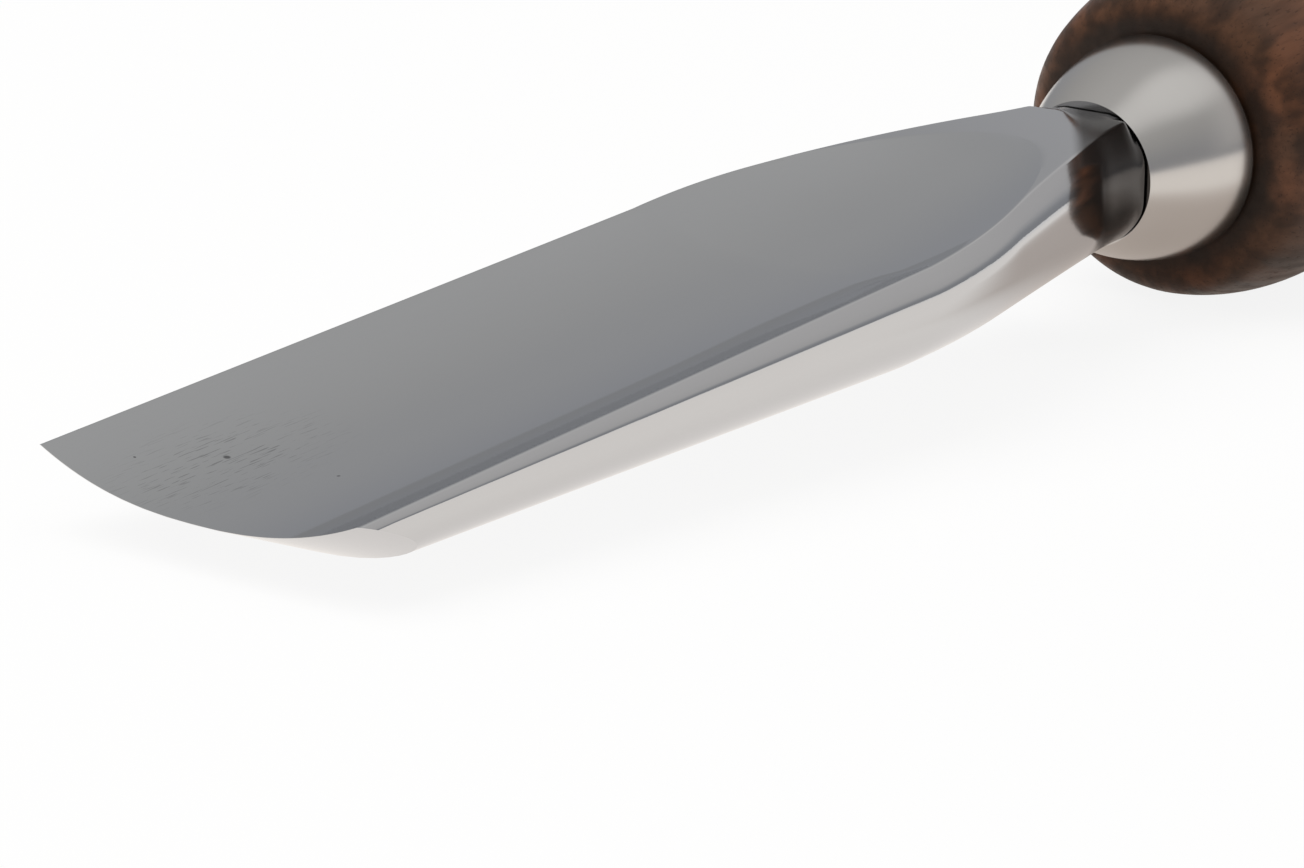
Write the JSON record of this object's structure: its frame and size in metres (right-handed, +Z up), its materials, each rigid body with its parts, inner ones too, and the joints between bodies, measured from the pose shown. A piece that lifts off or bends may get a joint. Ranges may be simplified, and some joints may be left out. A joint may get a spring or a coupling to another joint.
{
  "type": "carving gouge",
  "caption": "Wide sweep gouge for carving wood: fluted steel blade with an outside bevel, conical steel ferrule and turned dark wooden handle.",
  "frame": {"origin": "on the bench, under the middle of the tool as it lies flute up on its handle's bulb and the heel of its bevel", "axes": "+X along the tool towards the cutting edge, +Y across the blade, +Z up from the bench; the tool's own axis lies in the XZ plane and dips towards the edge by about 5.6 degrees"},
  "size_m": [0.2728, 0.0338, 0.0427],
  "materials": {
    "polished_steel": "polished tool steel, still black from the forge by the ferrule",
    "ferrule_steel": "polished",
    "stained_wood": "dark stain under a thin satin lacquer"
  },
  "bodies": {
    "root": {"blade": "polished_steel", "ferrule": "ferrule_steel", "handle": "stained_wood"}
  },
  "joints": []
}
